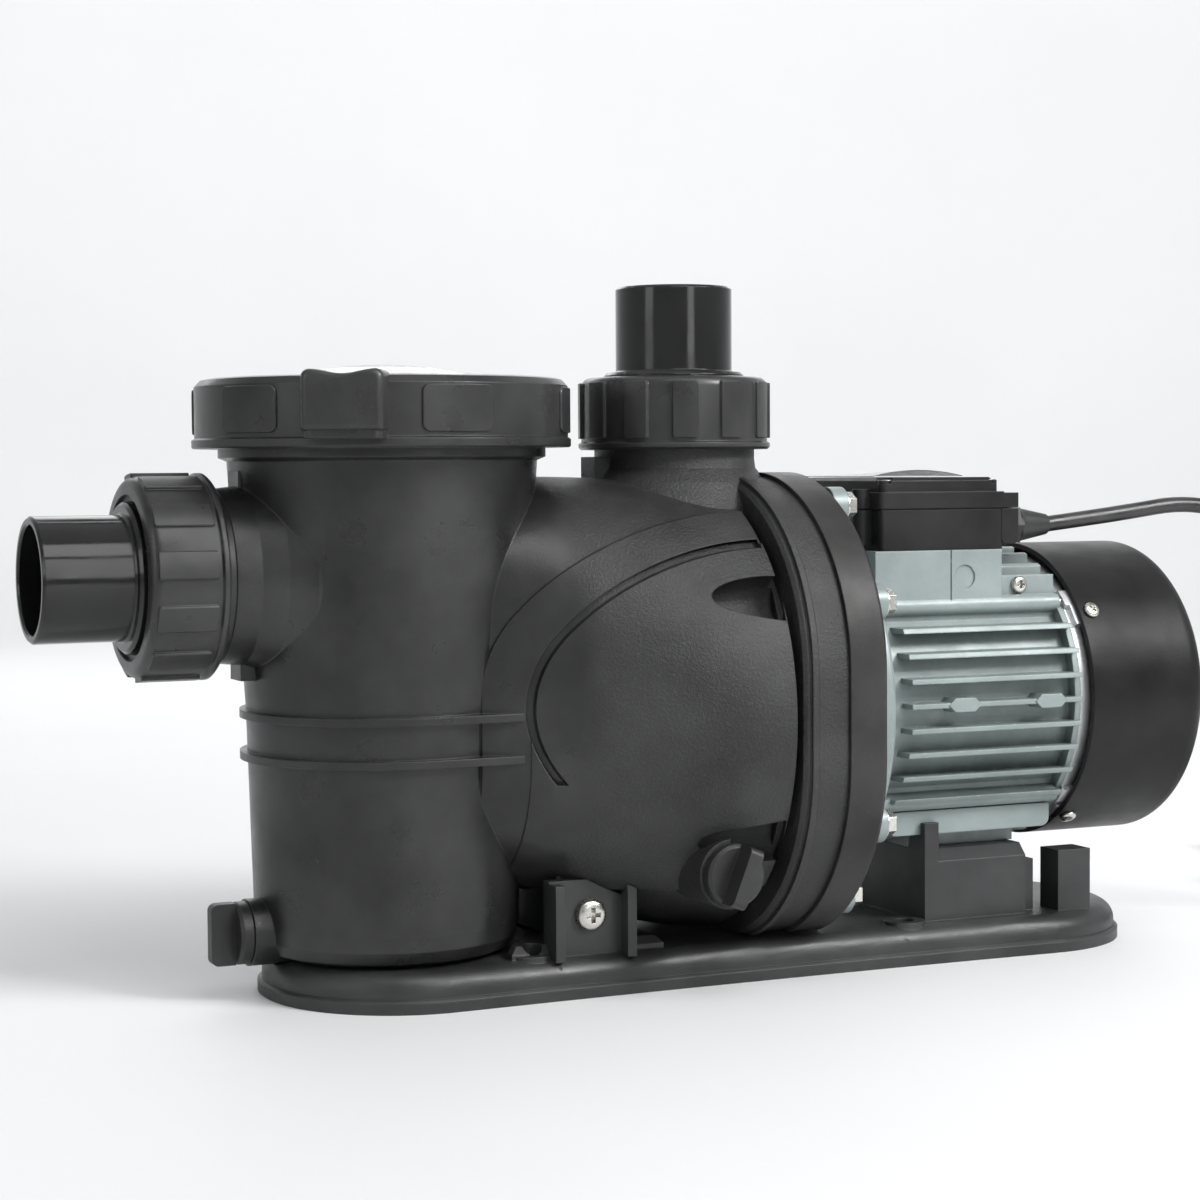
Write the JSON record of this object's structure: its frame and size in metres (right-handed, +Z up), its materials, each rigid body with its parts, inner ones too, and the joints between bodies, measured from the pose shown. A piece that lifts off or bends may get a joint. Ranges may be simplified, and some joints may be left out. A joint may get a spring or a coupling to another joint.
{
  "type": "pool pump",
  "caption": "Self-priming pool pump: strainer pot with clear lid, volute, union fittings, finned fan-cooled motor with terminal box, and a base plate.",
  "frame": {"origin": "Centre of the base's bolt holes, on the flat underside of the base", "axes": "+X along the shaft towards the motor's fan, +Y away from the terminal gland's side, +Z up"},
  "size_m": [0.719, 0.2632, 0.2915],
  "materials": {
    "base_plastic": "fine-grained black moulded plastic",
    "body_plastic": "satin black glass-filled plastic with a fine grain",
    "flange_plastic": "satin black moulded plastic with light scuffs",
    "nut_plastic": "semi-gloss black plastic",
    "pipe_plastic": "glossy black pipe plastic",
    "plug_plastic": "satin black plastic",
    "clear_lid": "clear polycarbonate",
    "seal_rubber": "black rubber",
    "basket_plastic": "natural white plastic",
    "wet_plastic": "dark grey glass-filled plastic",
    "seal_ceramic": "lapped white ceramic",
    "seal_carbon": "dark carbon and rubber",
    "spring_steel": "bright stainless spring wire",
    "shaft_steel": "ground steel",
    "bearing_steel": "ground and polished bearing steel",
    "lamination_steel": "dark stacked laminations",
    "copper": "enamelled copper windings",
    "cast_aluminium": "plain die-cast aluminium",
    "motor_paint": "grey-green satin enamel on cast aluminium",
    "cover_plastic": "satin black plastic",
    "fan_plastic": "black plastic",
    "screw_steel": "zinc-plated steel",
    "insert_brass": "plain brass",
    "box_plastic": "smooth black plastic",
    "terminal_plastic": "cream plastic with screws",
    "capacitor_plastic": "smooth white plastic can",
    "gland_plastic": "black plastic",
    "cord_rubber": "matte black cable sheath",
    "plug_rubber": "moulded black rubber",
    "pin_brass": "bright brass"
  },
  "bodies": {
    "root": {"base_plate": "base_plastic", "pump_body": "body_plastic", "seal_plate": "flange_plastic", "suction_spigot": "pipe_plastic", "suction_o_ring": "seal_rubber", "discharge_spigot": "pipe_plastic", "discharge_o_ring": "seal_rubber", "diffuser": "wet_plastic", "casing_o_ring": "seal_rubber", "seal_seat": "seal_ceramic", "bearing_outer_races": "bearing_steel", "bearing_cages": "bearing_steel", "wave_washer": "spring_steel", "stator_core": "lamination_steel", "windings": "copper", "motor_housing": "motor_paint", "drive_end_shield": "motor_paint", "rear_end_shield": "cast_aluminium", "tie_bolts": "screw_steel", "fan_cover": "cover_plastic", "fan_cover_screws": "screw_steel", "terminal_box_base": "box_plastic", "terminal_box_gasket": "seal_rubber", "terminal_box_lid": "box_plastic", "terminal_lid_screws": "screw_steel", "terminal_block": "terminal_plastic", "run_capacitor": "capacitor_plastic", "cable_gland": "gland_plastic", "earth_screw": "screw_steel", "flange_bolts": "screw_steel", "flange_washers": "screw_steel", "flange_inserts": "insert_brass", "body_mount_screws": "screw_steel", "motor_foot_screws": "screw_steel", "power_cord": "cord_rubber", "power_cord_coil": "cord_rubber", "power_cord_tail": "cord_rubber", "plug_body": "plug_rubber", "plug_pins": "pin_brass"},
    "rotor": {"motor_shaft": "shaft_steel", "rotor_core": "lamination_steel", "rotor_end_rings": "cast_aluminium", "bearing_inner_races": "bearing_steel", "impeller": "wet_plastic", "impeller_nut": "shaft_steel", "seal_head": "seal_carbon", "seal_spring": "spring_steel", "water_slinger": "seal_rubber", "cooling_fan": "fan_plastic"},
    "clear_lid": {"lid_dome": "clear_lid", "lid_o_ring": "seal_rubber"},
    "lid_ring": {"lid_ring": "nut_plastic"},
    "basket": {"strainer_basket": "basket_plastic"},
    "basket_handle": {"basket_handle": "basket_plastic"},
    "suction_nut": {"suction_union_nut": "nut_plastic"},
    "discharge_nut": {"discharge_union_nut": "nut_plastic"},
    "pot_plug_ring": {"pot_drain_o_ring": "seal_rubber"},
    "pot_plug": {"pot_drain_plug": "plug_plastic"},
    "volute_plug_ring": {"volute_drain_o_ring": "seal_rubber"},
    "volute_plug": {"volute_drain_plug": "plug_plastic"}
  },
  "joints": [
    {"name": "rotor_spin", "type": "hinge", "parent": "root", "child": "rotor", "pos_m": [0, 0, 0.112], "axis": [1, 0, 0], "continuous": true},
    {"name": "lid_lift", "type": "slide", "parent": "root", "child": "clear_lid", "axis": [0, 0, 1], "range_m": [0, 0.32]},
    {"name": "lid_ring_turn", "type": "hinge", "parent": "clear_lid", "child": "lid_ring", "pos_m": [-0.1335, 0, 0.236], "axis": [0, 0, 1], "range_deg": [0, 90]},
    {"name": "basket_lift", "type": "slide", "parent": "root", "child": "basket", "axis": [0, 0, 1], "range_m": [0, 0.193]},
    {"name": "basket_handle_swing", "type": "hinge", "parent": "basket", "child": "basket_handle", "pos_m": [-0.1335, 0, 0.202], "axis": [0, -1, 0], "range_deg": [0, 90]},
    {"name": "suction_nut_turn", "type": "hinge", "parent": "root", "child": "suction_nut", "pos_m": [-0.22, 0, 0.172], "axis": [-1, 0, 0], "range_deg": [0, 1080]},
    {"name": "discharge_nut_turn", "type": "hinge", "parent": "root", "child": "discharge_nut", "pos_m": [0, 0, 0.236], "axis": [0, 0, 1], "range_deg": [0, 1080]},
    {"name": "pot_plug_out", "type": "slide", "parent": "root", "child": "pot_plug_ring", "axis": [-1, 0, 0], "range_m": [0, 0.0201]},
    {"name": "pot_plug_turn", "type": "hinge", "parent": "pot_plug_ring", "child": "pot_plug", "pos_m": [-0.194, 0, 0.0275], "axis": [-1, 0, 0], "range_deg": [0, 1800]},
    {"name": "volute_plug_out", "type": "slide", "parent": "root", "child": "volute_plug_ring", "axis": [0, -1, 0], "range_m": [0, 0.0201]},
    {"name": "volute_plug_turn", "type": "hinge", "parent": "volute_plug_ring", "child": "volute_plug", "pos_m": [-0.0185, -0.088, 0.051], "axis": [0, -1, 0], "range_deg": [0, 1800]}
  ],
  "couplings": [
    {"joint": "basket_lift", "follows": "lid_lift", "ratio": 0.6},
    {"joint": "pot_plug_out", "follows": "pot_plug_turn", "m_per_rad": 0.00063662},
    {"joint": "volute_plug_out", "follows": "volute_plug_turn", "m_per_rad": 0.00063662}
  ]
}
